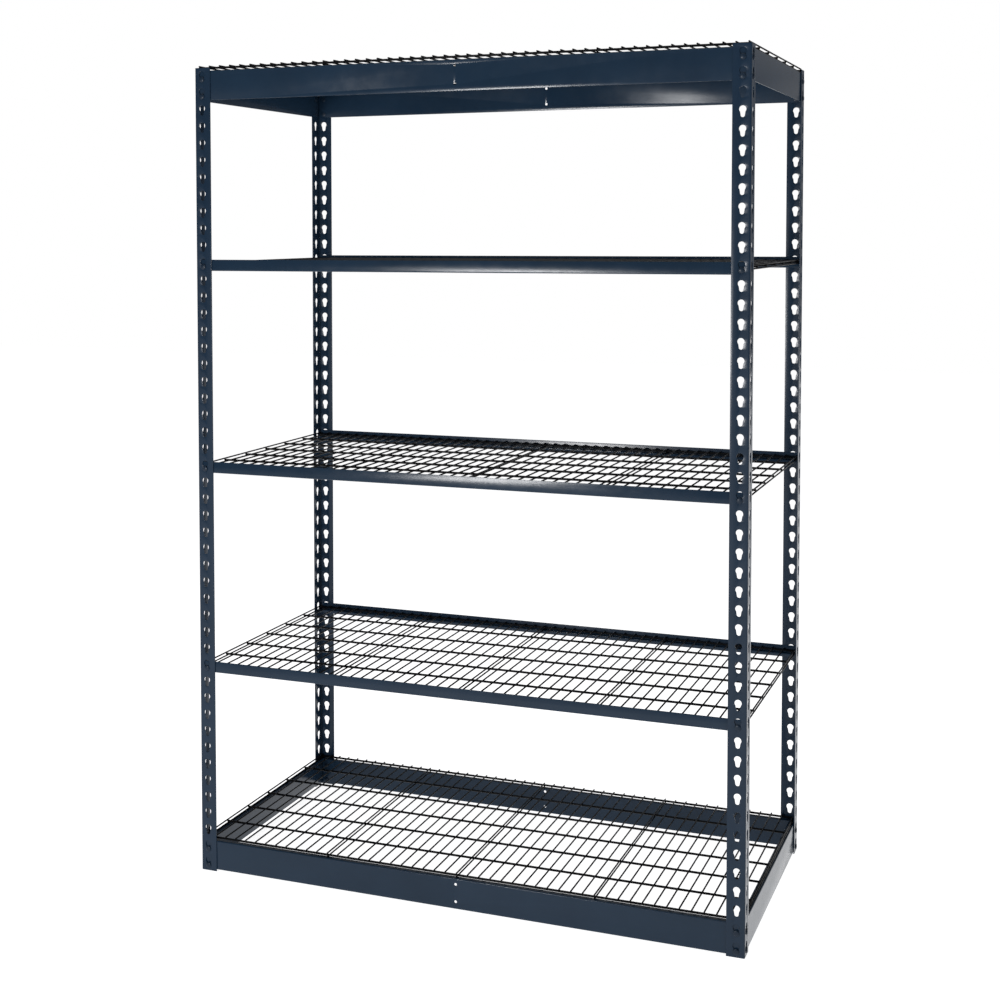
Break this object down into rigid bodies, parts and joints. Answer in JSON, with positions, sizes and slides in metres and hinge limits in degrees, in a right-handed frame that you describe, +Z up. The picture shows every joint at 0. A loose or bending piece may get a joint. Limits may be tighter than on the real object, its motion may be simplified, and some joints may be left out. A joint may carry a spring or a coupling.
{
  "type": "boltless steel shelving",
  "caption": "Free-standing boltless steel shelving: keyhole angle posts, riveted beams that hook in and welded wire decks that lift off.",
  "frame": {"origin": "on the floor at the middle of the unit's footprint", "axes": "+X along the shelf to the right seen from the front, +Y from the front to the rear, +Z up"},
  "size_m": [1.2454, 0.6554, 1.834],
  "materials": {
    "post_steel": "satin powder coat, dark slate blue",
    "beam_steel": "satin powder coat, dark slate blue",
    "rivet_steel": "satin powder coat, dark slate blue",
    "wire": "satin black powder coat"
  },
  "bodies": {
    "posts": {"post_front_left": "post_steel", "post_front_right": "post_steel", "post_rear_left": "post_steel", "post_rear_right": "post_steel"},
    "level_1": {"level_1_beam_front": "beam_steel", "level_1_beam_rear": "beam_steel", "level_1_beam_left": "beam_steel", "level_1_beam_right": "beam_steel", "level_1_rivets": "rivet_steel"},
    "deck_1": {"deck_1_cross_wires": "wire", "deck_1_long_wires": "wire", "deck_1_support_wires": "wire"},
    "level_2": {"level_2_beam_front": "beam_steel", "level_2_beam_rear": "beam_steel", "level_2_rivets": "rivet_steel"},
    "deck_2": {"deck_2_cross_wires": "wire", "deck_2_long_wires": "wire", "deck_2_support_wires": "wire"},
    "level_3": {"level_3_beam_front": "beam_steel", "level_3_beam_rear": "beam_steel", "level_3_rivets": "rivet_steel"},
    "deck_3": {"deck_3_cross_wires": "wire", "deck_3_long_wires": "wire", "deck_3_support_wires": "wire"},
    "level_4": {"level_4_beam_front": "beam_steel", "level_4_beam_rear": "beam_steel", "level_4_rivets": "rivet_steel"},
    "deck_4": {"deck_4_cross_wires": "wire", "deck_4_long_wires": "wire", "deck_4_support_wires": "wire"},
    "level_5": {"level_5_beam_front": "beam_steel", "level_5_beam_rear": "beam_steel", "level_5_beam_left": "beam_steel", "level_5_beam_right": "beam_steel", "level_5_rivets": "rivet_steel"},
    "deck_5": {"deck_5_cross_wires": "wire", "deck_5_long_wires": "wire", "deck_5_support_wires": "wire"}
  },
  "joints": [
    {"name": "level_1_unhook", "type": "slide", "parent": "posts", "child": "level_1", "axis": [0, 0, 1], "range_m": [0, 0.0115]},
    {"name": "deck_1_lift", "type": "slide", "parent": "level_1", "child": "deck_1", "axis": [0, 0, 1], "range_m": [0, 0.3]},
    {"name": "level_2_unhook", "type": "slide", "parent": "posts", "child": "level_2", "axis": [0, 0, 1], "range_m": [0, 0.0115]},
    {"name": "deck_2_lift", "type": "slide", "parent": "level_2", "child": "deck_2", "axis": [0, 0, 1], "range_m": [0, 0.3]},
    {"name": "level_3_unhook", "type": "slide", "parent": "posts", "child": "level_3", "axis": [0, 0, 1], "range_m": [0, 0.0115]},
    {"name": "deck_3_lift", "type": "slide", "parent": "level_3", "child": "deck_3", "axis": [0, 0, 1], "range_m": [0, 0.3]},
    {"name": "level_4_unhook", "type": "slide", "parent": "posts", "child": "level_4", "axis": [0, 0, 1], "range_m": [0, 0.0115]},
    {"name": "deck_4_lift", "type": "slide", "parent": "level_4", "child": "deck_4", "axis": [0, 0, 1], "range_m": [0, 0.3]},
    {"name": "level_5_unhook", "type": "slide", "parent": "posts", "child": "level_5", "axis": [0, 0, 1], "range_m": [0, 0.0115]},
    {"name": "deck_5_lift", "type": "slide", "parent": "level_5", "child": "deck_5", "axis": [0, 0, 1], "range_m": [0, 0.3]}
  ]
}
